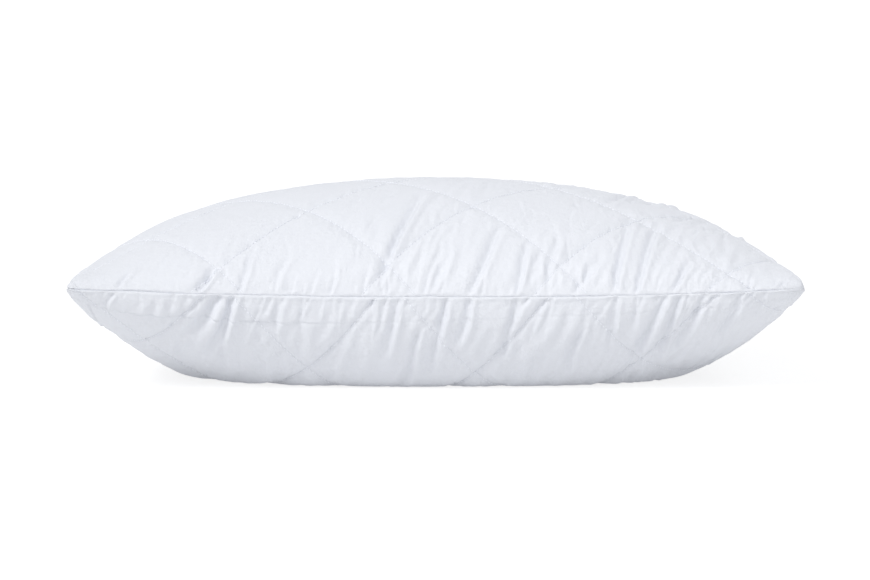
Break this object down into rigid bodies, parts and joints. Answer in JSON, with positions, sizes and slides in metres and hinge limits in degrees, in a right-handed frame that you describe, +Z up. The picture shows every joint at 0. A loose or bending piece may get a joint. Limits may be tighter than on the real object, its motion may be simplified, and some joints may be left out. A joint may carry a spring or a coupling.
{
  "type": "bed pillow",
  "caption": "Rectangular quilted bed pillow lying flat: white cotton cover stitched in diamonds, plain sewn edges, soft fibre filling and a blank care label.",
  "frame": {"origin": "middle of the pillow's footprint, on the surface that it lies on", "axes": "+X along the long side, +Y from the closing seam to the back seam, +Z up out of the upper side"},
  "size_m": [0.6692, 0.4476, 0.19],
  "materials": {
    "white_cotton": "fine cotton percale, slightly satin",
    "white_thread": "polyester sewing thread",
    "polyester_fibre": "matt hollow fibre",
    "nonwoven_backing": "matt spunbond",
    "label_satin": "satin tape"
  },
  "bodies": {
    "pillow": {"bottom_backing": "nonwoven_backing", "bottom_cover": "white_cotton", "bottom_quilting_thread_a1": "white_thread", "bottom_quilting_thread_a2": "white_thread", "bottom_quilting_thread_a3": "white_thread", "bottom_quilting_thread_a4": "white_thread", "bottom_quilting_thread_a5": "white_thread", "bottom_quilting_thread_a6": "white_thread", "bottom_quilting_thread_a7": "white_thread", "bottom_quilting_thread_b1": "white_thread", "bottom_quilting_thread_b2": "white_thread", "bottom_quilting_thread_b3": "white_thread", "bottom_quilting_thread_b4": "white_thread", "bottom_quilting_thread_b5": "white_thread", "bottom_quilting_thread_b6": "white_thread", "bottom_wadding": "polyester_fibre", "closing_seam_thread": "white_thread", "fibre_fill": "polyester_fibre", "side_seam_thread": "white_thread", "top_backing": "nonwoven_backing", "top_cover": "white_cotton", "top_quilting_thread_a1": "white_thread", "top_quilting_thread_a2": "white_thread", "top_quilting_thread_a3": "white_thread", "top_quilting_thread_a4": "white_thread", "top_quilting_thread_a5": "white_thread", "top_quilting_thread_a6": "white_thread", "top_quilting_thread_a7": "white_thread", "top_quilting_thread_b1": "white_thread", "top_quilting_thread_b2": "white_thread", "top_quilting_thread_b3": "white_thread", "top_quilting_thread_b4": "white_thread", "top_quilting_thread_b5": "white_thread", "top_quilting_thread_b6": "white_thread", "top_wadding": "polyester_fibre"},
    "label": {"care_label": "label_satin"}
  },
  "joints": [
    {"name": "label_bend", "type": "hinge", "parent": "pillow", "child": "label", "pos_m": [-0.22, 0.22179, 0.09477], "axis": [1, 0, 0], "range_deg": [-8, 120]}
  ]
}
